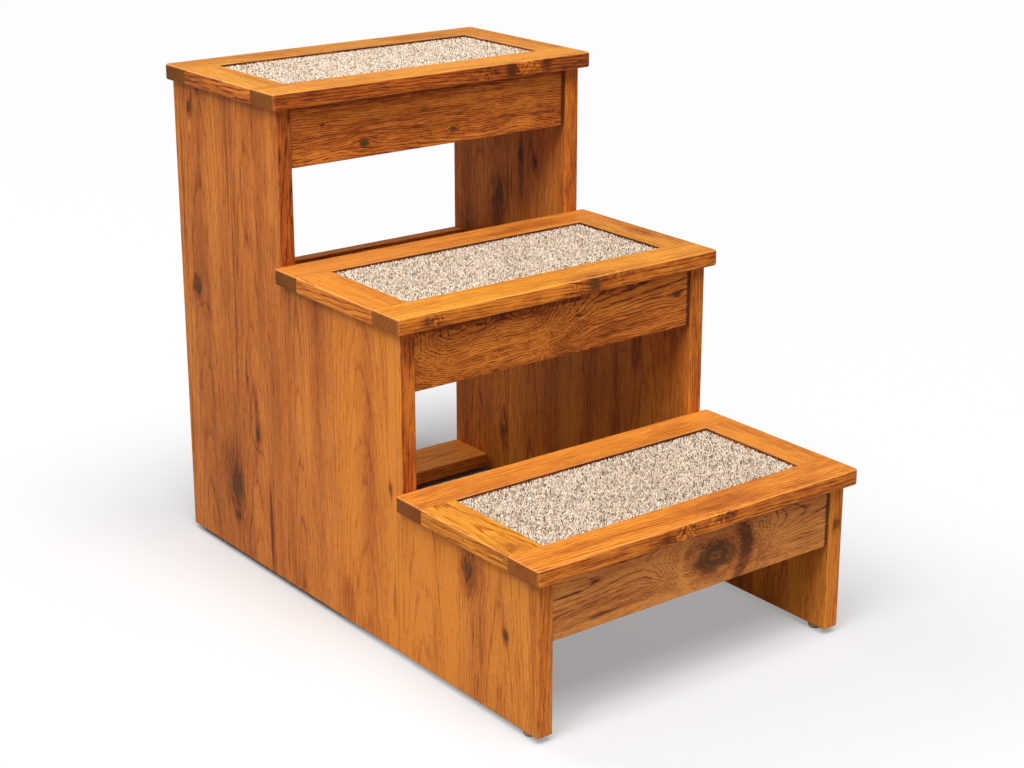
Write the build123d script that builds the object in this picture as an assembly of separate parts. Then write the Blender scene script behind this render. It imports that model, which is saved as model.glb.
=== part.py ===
from build123d import *
import os

# Pet stairs in stained hickory: three carpeted treads on two stepped side panels, open at the back.
# Lengths are in millimetres. X runs from left to right, Y from the front to the back and Z up.
# The origin lies on the floor, under the middle of the whole outline.

# Steps
step_names = ("low", "middle", "top")
step_rise = 203.0
step_run = 240.0

# Treads
tread_width = 460.0
tread_thickness = 19.0
tread_side_overhang = 10.0
tread_nosing = 11.5
tread_rail_width = 49.0
tread_stile_width = 46.0
tread_corner_radius = 5.0
tread_arris_radius = 2.5
opening_chamfer = 0.8

# Groove round the inside of a tread frame, for the plywood and for the tenons of the stiles
groove_depth = 9.0
groove_floor = 3.6
plywood_thickness = 6.0
plywood_edge_gap = 0.5
groove_clearance = 0.3
tenon_shoulder = 10.0
tenon_clearance = 0.15

# Carpet inserts
carpet_drop = 3.0
carpet_edge_gap = 0.5
carpet_edge_radius = 1.5

# Side panels: the shares say where the glued seams between the boards lie, from the back edge
panel_thickness = 20.0
panel_corner_radius = 3.0
panel_arris_radius = 2.0
left_seam_shares = (0.189, 0.284, 0.480, 0.653, 0.8125)
right_seam_shares = (0.170, 0.299, 0.480, 0.632, 0.833)

# Cross boards between the side panels
board_thickness = 19.0
board_arris_radius = 1.5
apron_height = 72.0
apron_recess = 2.5
apron_corner_radius = 3.0
stretcher_depth = 72.0
back_rail_height = 72.0
middle_rail_top = 337.5

# Dowels
dowel_diameter = 8.0
dowel_hole_clearance = 0.1
dowel_end_gap = 0.5
dowel_chamfer = 0.8
dowel_spacing = 32.0
dowel_in_panel = 12.0
dowel_in_board = 22.0
tread_dowel_in_panel = 20.0
tread_dowel_in_tread = 12.0
tread_dowel_inset = 20.0

# Glides and their nails
glide_height = 7.0
glide_diameter = 16.0
glide_foot_radius = 3.5
glide_rim_radius = 0.8
glide_front_inset = 25.0
glide_stretcher_inset = 25.0
nail_head_diameter = 8.0
nail_head_thickness = 1.2
nail_shank_diameter = 2.4
nail_length = 16.0
nail_tip_length = 3.0
nail_clearance = 0.1
nail_pocket_depth = 2.5

# How far a cutting shape runs past the face that it opens
overrun = 5.0

# Sizes and places that follow from the values above
step_count = len(step_names)
panel_depth = step_count * step_run
total_depth = panel_depth + tread_nosing
back_y = total_depth / 2
tread_half = tread_width / 2
panel_outer = tread_half - tread_side_overhang
panel_inner = panel_outer - panel_thickness
panel_middle = (panel_outer + panel_inner) / 2
tread_depth = step_run + tread_nosing
opening_half_x = tread_half - tread_stile_width
groove_width = plywood_thickness + groove_clearance
stretcher_middle_y = back_y - stretcher_depth / 2
back_rail_middle_y = back_y - board_thickness / 2


def panel_front(step):
    """Y of the side panels' front edge under a step, counted from 0 at the front."""
    return back_y - (step_count - step) * step_run


def tread_top(step):
    return step_rise * (step + 1)


def panel_top(step):
    """Z of the side panels' upper edge, which carries the tread."""
    return tread_top(step) - tread_thickness


def block(low, high):
    """A rectangular block between two opposite corners."""
    size = [b - a for a, b in zip(low, high)]
    middle = [(a + b) / 2 for a, b in zip(low, high)]
    return Pos(*middle) * Box(*size)


def rod(start, direction, length, diameter):
    """A round rod from a point, along a direction."""
    return Solid.make_cylinder(diameter / 2, length, Plane(origin=start, z_dir=direction))


def one_solid(shape):
    """The single solid that a cut piece consists of."""
    return shape.solids()[0]


# Dowels: each is written as a joint, the face that it crosses and how deep it goes on both sides

def cross_board_joints():
    """Two dowels at each end of the aprons, the back rails and the bottom stretcher."""
    half = dowel_spacing / 2
    places = []
    for step in range(step_count):
        y = panel_front(step) + apron_recess + board_thickness / 2
        z = panel_top(step) - apron_height / 2
        places += [(y, z - half), (y, z + half)]
    for top in (middle_rail_top, panel_top(step_count - 1)):
        z = top - back_rail_height / 2
        places += [(back_rail_middle_y, z - half), (back_rail_middle_y, z + half)]
    z = glide_height + board_thickness / 2
    places += [(stretcher_middle_y - half, z), (stretcher_middle_y + half, z)]
    joints = []
    for side in (-1, 1):
        for y, z in places:
            face = (side * panel_inner, y, z)
            joints.append((face, (side, 0, 0), dowel_in_panel, dowel_in_board))
    return joints


def tread_joints():
    """Two dowels from each side panel up into the stile of each tread."""
    joints = []
    for step in range(step_count):
        stile_front = panel_front(step) - tread_nosing + tread_rail_width
        stile_back = panel_front(step) + step_run - tread_rail_width
        for side in (-1, 1):
            for y in (stile_front + tread_dowel_inset, stile_back - tread_dowel_inset):
                face = (side * panel_middle, y, panel_top(step))
                joints.append((face, (0, 0, 1), tread_dowel_in_tread, tread_dowel_in_panel))
    return joints


def joint_rod(joint, end_gap, diameter):
    """A rod along a joint, shorter than its two holes by a gap at each end."""
    face, direction, ahead, behind = joint
    start = Vector(*face) - Vector(*direction) * (behind - end_gap)
    return rod(start, direction, ahead + behind - 2 * end_gap, diameter)


def dowel(joint):
    body = joint_rod(joint, dowel_end_gap, dowel_diameter)
    return body.chamfer(dowel_chamfer, None, body.edges().filter_by(GeomType.CIRCLE))


def dowel_holes(joints):
    return [joint_rod(joint, 0, dowel_diameter + 2 * dowel_hole_clearance) for joint in joints]


# Glides: two under the side panels and two under the bottom stretcher

def glide_places():
    front_y = panel_front(0) + glide_front_inset
    stretcher_x = panel_inner - glide_stretcher_inset
    return {
        "glide_front_left": (-panel_middle, front_y),
        "glide_front_right": (panel_middle, front_y),
        "glide_back_left": (-stretcher_x, stretcher_middle_y),
        "glide_back_right": (stretcher_x, stretcher_middle_y),
    }


def glide(x, y):
    """A round foot with a rounded lower edge and a pocket in its top for the nail's head."""
    body = rod((x, y, 0), (0, 0, 1), glide_height, glide_diameter)
    rims = body.edges().filter_by(GeomType.CIRCLE).sort_by(Axis.Z)
    body = body.fillet(glide_foot_radius, [rims[0]])
    rims = body.edges().filter_by(GeomType.CIRCLE).sort_by(Axis.Z)
    body = body.fillet(glide_rim_radius, [rims[-1]])
    pocket_floor = (x, y, glide_height - nail_pocket_depth)
    pocket_diameter = nail_head_diameter + 2 * nail_clearance
    return one_solid(body - rod(pocket_floor, (0, 0, 1), nail_pocket_depth + overrun, pocket_diameter))


def nail(x, y):
    """A flat head on the pocket's floor and a pointed shank up into the wood."""
    head_z = glide_height - nail_pocket_depth
    head = rod((x, y, head_z), (0, 0, 1), nail_head_thickness, nail_head_diameter)
    shank_length = nail_length - nail_head_thickness - nail_tip_length
    shank_z = head_z + nail_head_thickness
    shank = rod((x, y, shank_z), (0, 0, 1), shank_length, nail_shank_diameter)
    tip_plane = Plane(origin=(x, y, shank_z + shank_length))
    tip = Solid.make_cone(nail_shank_diameter / 2, 0, nail_tip_length, tip_plane)
    return one_solid(head + shank + tip)


def nail_holes():
    length = nail_length - nail_pocket_depth + dowel_end_gap
    diameter = nail_shank_diameter + 2 * nail_clearance
    return [rod((x, y, glide_height), (0, 0, 1), length, diameter) for x, y in glide_places().values()]


# Side panels: the stepped outline is shaped and drilled as one panel, then parted into its boards

def side_panel(side):
    points = [(panel_front(0), glide_height)]
    for step in range(step_count):
        next_front = panel_front(step + 1)
        points += [(panel_front(step), panel_top(step)), (next_front, panel_top(step))]
    points += [(back_y, glide_height), points[0]]
    start = panel_inner if side > 0 else -panel_outer
    outline = make_face(Plane.YZ.offset(start) * Polyline(*points))
    panel = one_solid(extrude(outline, panel_thickness, dir=(1, 0, 0)))
    corners = panel.edges().filter_by(Axis.X).group_by(Axis.Z)[0]
    panel = panel.fillet(panel_corner_radius, corners)
    arrises = panel.edges().filter_by(Axis.Z)
    arrises += panel.edges().group_by(Axis.Z)[0].filter_by(Axis.Y)
    arrises += panel.edges().filter_by(GeomType.CIRCLE)
    return panel.fillet(panel_arris_radius, arrises)


def side_boards(side, seam_shares, holes):
    """The edge-glued boards of one side panel, from the back to the front."""
    panel = side_panel(side) - holes
    seams = [back_y - share * panel_depth for share in seam_shares]
    boards = []
    for high_y, low_y in zip([back_y, *seams], [*seams, panel_front(0)]):
        slab = block((-tread_half, low_y, 0), (tread_half, high_y, tread_top(step_count - 1)))
        boards.append(one_solid(panel & slab))
    return boards


# Treads

def tread_blank(step):
    """The whole tread as one slab, with rounded corners and arrises."""
    front = panel_front(step) - tread_nosing
    low = (-tread_half, front, panel_top(step))
    slab = one_solid(block(low, (tread_half, front + tread_depth, tread_top(step))))
    slab = slab.fillet(tread_corner_radius, slab.edges().filter_by(Axis.Z))
    rims = slab.edges().group_by(Axis.Z)
    return slab.fillet(tread_arris_radius, rims[0] + rims[-1])


def opening_cutter(step):
    """A shallow tapered plug that chamfers the upper edge of the carpet opening."""
    top = tread_top(step)
    middle_y = panel_front(step) - tread_nosing + tread_depth / 2
    length = 2 * opening_half_x
    width = tread_depth - 2 * tread_rail_width
    sections = []
    for lift in (-opening_chamfer, opening_chamfer):
        grow = 2 * (opening_chamfer + lift)
        plane = Plane(origin=(0, middle_y, top + lift))
        sections.append(plane * Rectangle(length + grow, width + grow))
    return loft(sections, ruled=True)


def tread_frame(step, holes):
    """The two rails and two stiles of a tread, with their groove and stub tenons."""
    front = panel_front(step) - tread_nosing
    back = front + tread_depth
    opening_front = front + tread_rail_width
    opening_back = back - tread_rail_width
    low_z = panel_top(step)
    high_z = tread_top(step)
    groove_low = low_z + groove_floor
    groove_high = groove_low + groove_width
    blank = tread_blank(step)
    chamfer = opening_cutter(step)

    mortise_half_x = tread_half - tenon_shoulder
    rail_groove = block(
        (-mortise_half_x, opening_front - groove_depth, groove_low),
        (mortise_half_x, opening_back + groove_depth, groove_high),
    )
    front_slab = block((-tread_half, front, low_z), (tread_half, opening_front, high_z))
    back_slab = block((-tread_half, opening_back, low_z), (tread_half, back, high_z))
    front_rail = one_solid((blank & front_slab) - rail_groove - chamfer)
    back_rail = one_solid((blank & back_slab) - rail_groove - chamfer)

    stile_groove = block(
        (-opening_half_x - groove_depth, front, groove_low),
        (opening_half_x + groove_depth, back, groove_high),
    )
    tenon_reach = groove_depth - tenon_clearance
    tenon_half_x = mortise_half_x - tenon_clearance
    tenons = block(
        (-tenon_half_x, opening_front - tenon_reach, groove_low + tenon_clearance),
        (tenon_half_x, opening_back + tenon_reach, groove_high - tenon_clearance),
    )
    stiles = []
    for side in (-1, 1):
        inner = side * opening_half_x
        outer = side * tread_half
        low_x = min(inner, outer)
        high_x = max(inner, outer)
        stile_slab = block((low_x, opening_front, low_z), (high_x, opening_back, high_z))
        tenon_slab = block((low_x, front, low_z), (high_x, back, high_z))
        stile = (blank & stile_slab) + (tenons & tenon_slab)
        stiles.append(one_solid(stile - stile_groove - chamfer - holes))
    return front_rail, back_rail, stiles[0], stiles[1]


def tread_plywood(step):
    """The thin panel in the groove, under the carpet."""
    reach = groove_depth - plywood_edge_gap
    front = panel_front(step) - tread_nosing + tread_rail_width - reach
    back = panel_front(step) + step_run - tread_rail_width + reach
    half_x = opening_half_x + reach
    low_z = panel_top(step) + groove_floor
    return one_solid(block((-half_x, front, low_z), (half_x, back, low_z + plywood_thickness)))


def tread_carpet(step):
    """The carpet insert: its backing rests on the plywood and its pile stays below the wood."""
    front = panel_front(step) - tread_nosing + tread_rail_width + carpet_edge_gap
    back = panel_front(step) + step_run - tread_rail_width - carpet_edge_gap
    half_x = opening_half_x - carpet_edge_gap
    low_z = panel_top(step) + groove_floor + plywood_thickness
    insert = one_solid(block((-half_x, front, low_z), (half_x, back, tread_top(step) - carpet_drop)))
    insert = insert.fillet(carpet_edge_radius, insert.edges().filter_by(Axis.Z))
    return insert.fillet(carpet_edge_radius, insert.edges().group_by(Axis.Z)[-1])


# Cross boards

def apron(step, holes):
    """The board on edge under the front of a tread, with eased ends and lower edge."""
    front = panel_front(step) + apron_recess
    low = (-panel_inner, front, panel_top(step) - apron_height)
    high = (panel_inner, front + board_thickness, panel_top(step))
    board = one_solid(block(low, high))
    board = board.fillet(apron_corner_radius, board.edges().filter_by(Axis.Y).group_by(Axis.Z)[0])
    front_edges = board.edges().group_by(Axis.Y)[0]
    top_edge = front_edges.filter_by(Axis.X).sort_by(Axis.Z)[-1]
    eased = [edge for edge in front_edges if edge != top_edge]
    return one_solid(board.fillet(board_arris_radius, eased) - holes)


def back_board(depth, height, top, holes):
    """A board between the side panels, flush with their back edges, with eased long edges."""
    low = (-panel_inner, back_y - depth, top - height)
    high = (panel_inner, back_y, top)
    board = one_solid(block(low, high))
    board = board.fillet(board_arris_radius, board.edges().filter_by(Axis.X))
    return one_solid(board - holes)


def all_pieces():
    cross_joints = cross_board_joints()
    tread_dowel_joints = tread_joints()
    cross_holes = dowel_holes(cross_joints)
    tread_holes = dowel_holes(tread_dowel_joints)
    glide_holes = nail_holes()

    pieces = {}
    panel_holes = cross_holes + tread_holes + glide_holes
    for side_name, side, shares in (("left", -1, left_seam_shares), ("right", 1, right_seam_shares)):
        for number, board in enumerate(side_boards(side, shares, panel_holes), start=1):
            pieces[f"{side_name}_side_board_{number}"] = board

    for step, name in enumerate(step_names):
        front_rail, back_rail, left_stile, right_stile = tread_frame(step, tread_holes)
        pieces[f"{name}_tread_front_rail"] = front_rail
        pieces[f"{name}_tread_back_rail"] = back_rail
        pieces[f"{name}_tread_left_stile"] = left_stile
        pieces[f"{name}_tread_right_stile"] = right_stile
        pieces[f"{name}_tread_plywood"] = tread_plywood(step)
        pieces[f"{name}_tread_carpet"] = tread_carpet(step)
        pieces[f"{name}_apron"] = apron(step, cross_holes)

    stretcher_top = glide_height + board_thickness
    stretcher_holes = cross_holes + glide_holes
    pieces["bottom_stretcher"] = back_board(stretcher_depth, board_thickness, stretcher_top, stretcher_holes)
    pieces["middle_back_rail"] = back_board(board_thickness, back_rail_height, middle_rail_top, cross_holes)
    top_rail_top = panel_top(step_count - 1)
    pieces["top_back_rail"] = back_board(board_thickness, back_rail_height, top_rail_top, cross_holes)

    pieces["cross_board_dowels"] = Compound([dowel(joint) for joint in cross_joints])
    pieces["tread_dowels"] = Compound([dowel(joint) for joint in tread_dowel_joints])

    for name, (x, y) in glide_places().items():
        pieces[name] = glide(x, y)
    pieces["glide_nails"] = Compound([nail(x, y) for x, y in glide_places().values()])
    return pieces


os.makedirs("parts", exist_ok=True)
for node_name, piece in all_pieces().items():
    export_step(piece, f"parts/{node_name}.step")
print(f"Overall: {tread_width:.1f} wide, {total_depth:.1f} deep, {tread_top(step_count - 1):.1f} high")
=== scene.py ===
# %% [markdown]
# Pet stairs in stained hickory.
# The construction of the stairs comes in ready made: each board and each foot is one object, and so is each
# set of dowels or nails. This lesson dresses them. It writes a stained wood that follows every board's own
# grain, knots included, grows the cut pile of the carpets tuft by tuft, and sets up a plain studio.
# %% Load the frame
import math

import bpy
import numpy as np
from mathutils import Matrix, Vector


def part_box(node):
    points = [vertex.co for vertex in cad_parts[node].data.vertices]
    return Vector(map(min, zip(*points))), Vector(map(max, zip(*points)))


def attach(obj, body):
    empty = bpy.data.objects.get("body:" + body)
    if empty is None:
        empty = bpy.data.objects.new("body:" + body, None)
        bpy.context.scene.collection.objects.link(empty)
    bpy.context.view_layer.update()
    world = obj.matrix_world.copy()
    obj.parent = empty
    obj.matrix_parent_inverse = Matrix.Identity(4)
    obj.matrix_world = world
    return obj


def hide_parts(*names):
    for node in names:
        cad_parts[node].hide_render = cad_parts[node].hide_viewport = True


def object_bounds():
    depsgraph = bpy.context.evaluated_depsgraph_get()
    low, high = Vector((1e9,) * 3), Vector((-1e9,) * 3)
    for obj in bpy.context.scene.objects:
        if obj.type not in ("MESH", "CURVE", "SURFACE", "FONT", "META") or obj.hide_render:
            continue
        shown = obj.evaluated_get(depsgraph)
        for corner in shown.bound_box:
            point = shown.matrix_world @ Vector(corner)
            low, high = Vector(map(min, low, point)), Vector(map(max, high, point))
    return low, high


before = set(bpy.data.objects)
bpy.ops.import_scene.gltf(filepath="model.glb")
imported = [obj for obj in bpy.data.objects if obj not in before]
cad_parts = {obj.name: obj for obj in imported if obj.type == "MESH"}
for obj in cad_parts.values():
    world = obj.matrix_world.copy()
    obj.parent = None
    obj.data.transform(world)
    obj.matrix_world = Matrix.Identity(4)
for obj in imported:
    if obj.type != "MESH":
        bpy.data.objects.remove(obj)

cad_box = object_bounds()
body = "root"
print("Pieces in the frame:", len(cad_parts))

# %% [markdown]
# Sizes. Blender works in metres and a joiner in millimetres, so one helper turns the second into the first.
# Every place on the stairs is read from the boxes of the boards, so nothing here repeats their sizes.
# %% Sizes read from the boards
MM = 0.001
step_names = ("low", "middle", "top")


def mm(*lengths):
    """Lengths in millimetres as a tuple in metres."""
    return tuple(length * MM for length in lengths)


whole_high = cad_box[1]
back_y = whole_high.y
panel_outer = abs(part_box("left_side_board_1")[0].x)
print("Back edge at y", round(back_y, 4), "and panels out to x", round(panel_outer, 3))

# %% [markdown]
# Writing nodes as sums. A material is a tree of nodes, and most of its nodes only add or multiply. Placing
# them with the raw calls takes four lines a node, which hides the idea. So what a node gives out becomes a
# Value, and arithmetic with a Value adds the next node by itself: a Math node, or a Vector Math node where
# one side is a vector. A number stays on the socket, and anything that comes from another node is a link.
# %% Values
class Value:
    """What a node gives out. Arithmetic with it adds nodes to its tree."""

    def __init__(self, sketch, socket):
        self.sketch = sketch
        self.socket = socket

    def __add__(self, other):
        return self.sketch.math("ADD", self, other)

    def __sub__(self, other):
        return self.sketch.math("SUBTRACT", self, other)

    def __rsub__(self, other):
        return self.sketch.math("SUBTRACT", other, self)

    def __mul__(self, other):
        return self.sketch.math("MULTIPLY", self, other)

    def __truediv__(self, other):
        return self.sketch.math("DIVIDE", self, other)

    def __abs__(self):
        return self.sketch.math("ABSOLUTE", self)

    def clamped(self):
        """The same value, kept from 0 to 1 by its own Math node."""
        self.socket.node.use_clamp = True
        return self

    def step(self, low, high, to_low=0.0, to_high=1.0):
        """A soft step: to_low below low, to_high above high."""
        inputs = {"Value": self, "From Min": low, "From Max": high, "To Min": to_low, "To Max": to_high}
        return self.sketch.value("ShaderNodeMapRange", inputs, interpolation_type="SMOOTHSTEP")


# %% A sketch of a node tree
class Sketch:
    """Adds nodes to one tree, a line of code each."""

    def __init__(self, tree):
        self.tree = tree

    def feed(self, socket, value):
        if isinstance(value, Value):
            self.tree.links.new(value.socket, socket)
        else:
            socket.default_value = value

    def node(self, kind, inputs=None, **settings):
        made = self.tree.nodes.new(kind)
        for name, value in settings.items():
            setattr(made, name, value)
        for name, value in (inputs or {}).items():
            self.feed(made.inputs[name], value)
        return made

    def value(self, kind, inputs=None, output=0, **settings):
        return Value(self, self.node(kind, inputs, **settings).outputs[output])

    def values(self, made):
        """All that a node gives out, by name."""
        return {socket.name: Value(self, socket) for socket in made.outputs}

    def place(self):
        """Where a point is. All the pieces share one origin, so this is the place on the stairs."""
        return self.values(self.node("ShaderNodeTexCoord"))["Object"]

    def is_vector(self, value):
        return isinstance(value, Value) and value.socket.type == "VECTOR"

    def math(self, operation, *values):
        """A Math node, or a Vector Math node where one of the values is a vector."""
        with_vectors = any(isinstance(one, tuple) or self.is_vector(one) for one in values)
        made = self.node("ShaderNodeVectorMath" if with_vectors else "ShaderNodeMath", operation=operation)
        for socket, value in zip(made.inputs, values):
            spread = with_vectors and isinstance(value, float)
            self.feed(socket, (value, value, value) if spread else value)
        vector_out = with_vectors and operation not in ("DOT_PRODUCT", "LENGTH")
        return Value(self, made.outputs["Vector" if vector_out else "Value"])

    def length(self, vector):
        return self.math("LENGTH", vector)

    def parts(self, vector):
        return tuple(self.values(self.node("ShaderNodeSeparateXYZ", {"Vector": vector})).values())

    def joined(self, x, y, z):
        return self.value("ShaderNodeCombineXYZ", {"X": x, "Y": y, "Z": z})

    def noise(self, vector, detail=2.0, roughness=0.5, distortion=0.0):
        """Smooth noise from 0 to 1, with bumps about one unit apart."""
        inputs = {"Vector": vector, "Scale": 1.0, "Detail": detail, "Roughness": roughness}
        return self.value("ShaderNodeTexNoise", {**inputs, "Distortion": distortion})

    def mix(self, factor, first, second, blend="MIX"):
        """One colour over another."""
        inputs = {0: factor, 6: first, 7: second}
        return self.value("ShaderNodeMix", inputs, 2, data_type="RGBA", blend_type=blend, clamp_factor=True)

    def group(self, tree, **inputs):
        """Places a node group. An input is named with underscores for spaces."""
        made = self.node("ShaderNodeGroup", node_tree=tree)
        for name, value in inputs.items():
            self.feed(made.inputs[name.replace("_", " ")], value)
        return self.values(made)

    def give(self, **outputs):
        """Ends a node group with what it puts out, and returns it."""
        last = self.node("NodeGroupOutput")
        for name, value in outputs.items():
            self.feed(last.inputs[name], value)
        print("Group:", self.tree.name, "with", len(self.tree.nodes), "nodes")
        return self.tree


# %% [markdown]
# Node groups. A group has named inputs and outputs. The kind of an input follows from its default: a number,
# three numbers for a vector, or a list of four for a colour.
# %% A new node group
socket_kinds = {float: "NodeSocketFloat", tuple: "NodeSocketVector", list: "NodeSocketColor"}
zero = (0.0, 0.0, 0.0)
small = (0.01, 0.01, 0.01)


def new_group(name, inputs, outputs):
    """An empty node group: a sketch of it, and the values that it is given."""
    tree = bpy.data.node_groups.new(name, "ShaderNodeTree")
    for label, default in inputs.items():
        socket = tree.interface.new_socket(label, in_out="INPUT", socket_type=socket_kinds[type(default)])
        socket.default_value = default
    for label, kind in outputs.items():
        tree.interface.new_socket(label, in_out="OUTPUT", socket_type=socket_kinds[kind])
    sketch = Sketch(tree)
    return sketch, sketch.values(sketch.node("NodeGroupInput"))


# %% [markdown]
# A board's own directions. Wood looks different along the grain, across the board and through its
# thickness, so every material first turns the place on the stairs into a place on the board. Three dot
# products do it: one with the direction of the grain, one across it and one into the wood. Turning the
# texture with a Mapping node works too, but three plain directions are easier to read.
# %% Group: place on the board
sketch, given = new_group(
    "Place on the board",
    {"Position": zero, "Origin": zero, "Along": zero, "Across": zero, "Into": zero},
    {"Place": tuple})
offset = given["Position"] - given["Origin"]
turned = [sketch.math("DOT_PRODUCT", offset, given[name]) for name in ("Along", "Across", "Into")]
board_place = sketch.give(Place=sketch.joined(*turned))

# %% [markdown]
# Knots. A knot is a branch that the trunk grew round, so the grain swings round it and closes again, and
# its own wood is dark. The group measures how far a place is from the knot, in knot radii, and gives four
# things: the place with the grain pushed aside, a mask of the knot itself, its small rings, and a wider
# halo of darkened wood. The grain also rises over a knot like a dome, and a flat cut through a dome shows
# closed rings. Knots chain up, each taking the place that the last one gave.
# %% Group: knot
sketch, given = new_group(
    "Knot",
    {"Place": zero, "Centre": zero, "Radii": small, "Swing": 0.85, "Dome": 0.0, "Solid Part": 0.5,
     "Darkness": 1.0, "Seed": 0.0},
    {"Place": tuple, "Core": float, "Halo": float, "Rings": float})
offset = given["Place"] - given["Centre"]
shares = offset / given["Radii"]
ragged = sketch.noise((shares + given["Seed"]) * 0.9, 3.0, 0.6) - 0.5
distance = ragged * 0.9 + sketch.length(shares)
halo_distance = ragged * 1.1 + sketch.length(shares * (0.58, 0.85, 0.85))
fall = sketch.math("POWER", math.e, sketch.math("POWER", distance, 2.0) * -0.22)
aside = sketch.parts(offset)[1] * fall * given["Swing"]
knot_group = sketch.give(
    Place=given["Place"] - sketch.joined(0.0, aside, fall * given["Dome"]),
    Core=distance.step(given["Solid Part"], 1.25, 1.0, 0.0) * given["Darkness"],
    Halo=halo_distance.step(0.3, 1.8, 1.0, 0.0) * given["Darkness"],
    Rings=sketch.math("SINE", distance * 15.0).step(-0.6, 1.0))

# %% [markdown]
# Stains and streaks. Rustic hickory is full of mineral streaks, small checks and patches that took more or
# less stain. One group makes them all: an ellipse with ragged edges, long and thin for a streak and round
# for a patch. The sharpness says how abruptly it ends, and spots break it up like burl. The same group also
# paints shade into corners and under overhangs, and a little light where a board lies in shade.
# %% Group: patch
sketch, given = new_group(
    "Patch",
    {"Place": zero, "Centre": zero, "Radii": small, "Sharpness": 0.5, "Ragged": 0.6, "Spots": 0.0,
     "Seed": 0.0},
    {"Mask": float})
place = given["Place"]
seed = given["Seed"]
shares = (place - given["Centre"]) / given["Radii"]
broad = sketch.noise(shares * 1.3 + seed, 3.0, 0.6) - 0.5
fine = sketch.noise(place * (60.0, 700.0, 700.0) + seed) - 0.5
distance = (broad + fine * 0.6) * given["Ragged"] + sketch.length(shares)
burl = sketch.noise(place * 190.0 + seed, 2.0, 0.6, 1.2)
gaps = burl.step(0.42, 0.56, 1.5, 0.0) * given["Spots"]
patch_group = sketch.give(Mask=distance.step(given["Sharpness"], 1.1, 1.0, 0.0) * (1.0 - gaps))

# %% [markdown]
# Waves of the grain. No trunk grows straight, so the grain wanders: slowly and far, and in quick small
# ripples. This group pushes places aside across the grain, and the rings, the fibres and the pores all
# start from the pushed places, so they bend together.
# %% Group: waves of the grain
sketch, given = new_group(
    "Waves of the grain", {"Place": zero, "Wander": 0.006, "Ripple": 0.003, "Seed": 0.0}, {"Place": tuple})
place = given["Place"]
slow = sketch.noise(place * (3.0, 9.0, 9.0) + given["Seed"]) - 0.5
quick = sketch.noise(place * (16.0, 50.0, 50.0) + given["Seed"], 2.0, 0.6) - 0.5
aside = slow * given["Wander"] * 2.0 + quick * given["Ripple"] * 2.0
waves_group = sketch.give(Place=place + sketch.joined(0.0, aside, 0.0))

# %% [markdown]
# Growth rings. A trunk is a stack of cones, one a year, and a board is a flat cut through it. So the ring
# that a place belongs to depends on its distance from the heart line, with a taper along the trunk. Where
# the cut runs close under the bark the rings open into the tall arches that joiners call cathedrals, and
# elsewhere they are straight lines. Two noises bend the cones a little more. Each ring starts with a dark
# row of pores and fades, and takes the stain a little differently, which a random number for it gives.
# %% Group: growth rings
sketch, given = new_group(
    "Growth rings",
    {"Place": zero, "Heart Across": 0.0, "Heart Depth": 0.05, "Spacing": 0.003, "Wander": 0.006,
     "Taper": 0.03, "Seed": 0.0},
    {"Line": float, "Tint": float})
place = given["Place"]
seed = given["Seed"]
slow = sketch.noise(place * (2.6, 9.0, 9.0) + seed) - 0.5
quick = sketch.noise(place * (14.0, 55.0, 55.0) + seed, 2.0, 0.6) - 0.5
along, across, into = sketch.parts(place)
radius = sketch.length(sketch.joined(across - given["Heart Across"], into - given["Heart Depth"], 0.0))
waved = slow * given["Wander"] + along * given["Taper"] + radius
rippled = quick * given["Spacing"] * 0.8 + waved
uneven = sketch.noise(sketch.joined(rippled * 70.0, seed, 0.0), 1.0)
phase = uneven * 2.2 + rippled / given["Spacing"]
ring = sketch.math("FLOOR", phase)
part = phase - ring
growth_rings = sketch.give(
    Line=part.step(0.0, 0.10) * part.step(0.08, 0.36, 1.0, 0.0),
    Tint=sketch.value("ShaderNodeTexWhiteNoise", {"W": ring + seed}, noise_dimensions="1D"))

# %% [markdown]
# Fibres and pores. Close up, wood is a bundle of fibres: broad bands, long streaks, the short grain one
# sees at arm's length, single fibres, and open pores that drink the stain and turn almost black. All of
# them are the same noise, squeezed across the grain and stretched along it by different amounts. Another,
# soft and wide, is the blotchy way that stain takes on hickory.
# %% Group: fibres and pores
fibre_masks = ("Bands", "Streaks", "Grain", "Fibres", "Pores", "Clouds")
sketch, given = new_group("Fibres and pores", {"Place": zero, "Seed": 0.0}, dict.fromkeys(fibre_masks, float))


def squeezed(along, across, detail=2.0, roughness=0.6):
    """Noise with so many bumps to the metre along the grain and across it."""
    return sketch.noise(given["Place"] * (along, across, across) + given["Seed"], detail, roughness)


fibres_group = sketch.give(
    Bands=squeezed(1.6, 36.0, roughness=0.5),
    Streaks=squeezed(5.0, 140.0),
    Grain=squeezed(38.0, 420.0, detail=3.0),
    Fibres=squeezed(80.0, 1200.0),
    Pores=squeezed(130.0, 1100.0).step(0.56, 0.66),
    Clouds=squeezed(9.0, 20.0, detail=4.0))

# %% [markdown]
# Edges and ends. Two places on a board look different from its faces. The rounded arrises lose some stain
# to sanding and handling, and they also carry a painted highlight, strongest on those that face up, where
# the light falls. The sawn ends drink so much that they turn brown. Both can be read from the direction
# that the surface faces: an arris faces none of the three main directions, an end faces along the grain,
# and a narrow side faces across it. A last mask is the hairline of dark glue and stain where two boards
# meet.
# %% Group: edges and ends
sketch, given = new_group(
    "Edges and ends",
    {"Normal": zero, "Along": zero, "Across": zero, "Seam Place": 0.0, "First Seam": 0.0, "Second Seam": 0.0},
    {"Arris": float, "End": float, "Side": float, "Seam": float})
x, y, z = sketch.parts(abs(given["Normal"]))
facing = sketch.math("MAXIMUM", sketch.math("MAXIMUM", x, y), z)
# Upward arrises get more of the painted highlight, as the light falls from above.
from_above = sketch.parts(given["Normal"])[2].step(0.1, 0.5, 0.25, 1.0)
endwise = abs(sketch.math("DOT_PRODUCT", given["Normal"], given["Along"]))
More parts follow.
